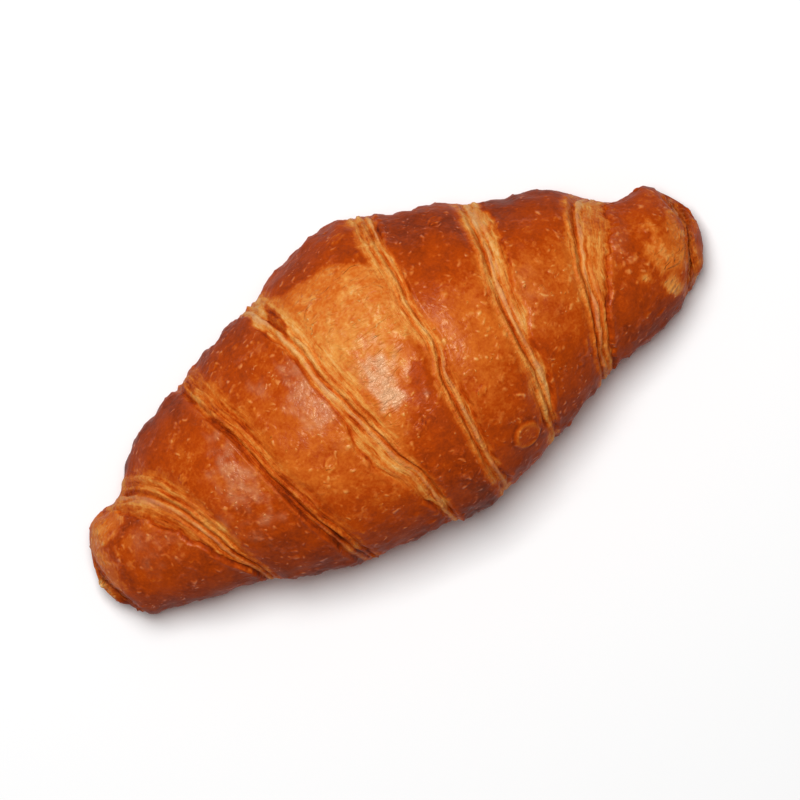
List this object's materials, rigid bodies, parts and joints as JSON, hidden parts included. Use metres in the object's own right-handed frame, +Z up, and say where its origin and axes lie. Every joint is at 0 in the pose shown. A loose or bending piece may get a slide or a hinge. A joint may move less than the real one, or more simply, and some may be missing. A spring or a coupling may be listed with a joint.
{
  "type": "croissant",
  "caption": "Plump butter croissant, nearly straight, rolled in overlapping bands with a glossy golden-brown crust.",
  "frame": {"origin": "middle of the length and of the width, on the flat baked base", "axes": "+X along the roll, +Y to the back, away from the tucked-in point, +Z up"},
  "size_m": [0.16, 0.0724, 0.0487],
  "materials": {
    "crust": "egg-washed and baked deep golden brown, semi-gloss, with paler flaky edges along the rolls"
  },
  "bodies": {
    "root": {"croissant": "crust"}
  },
  "joints": []
}
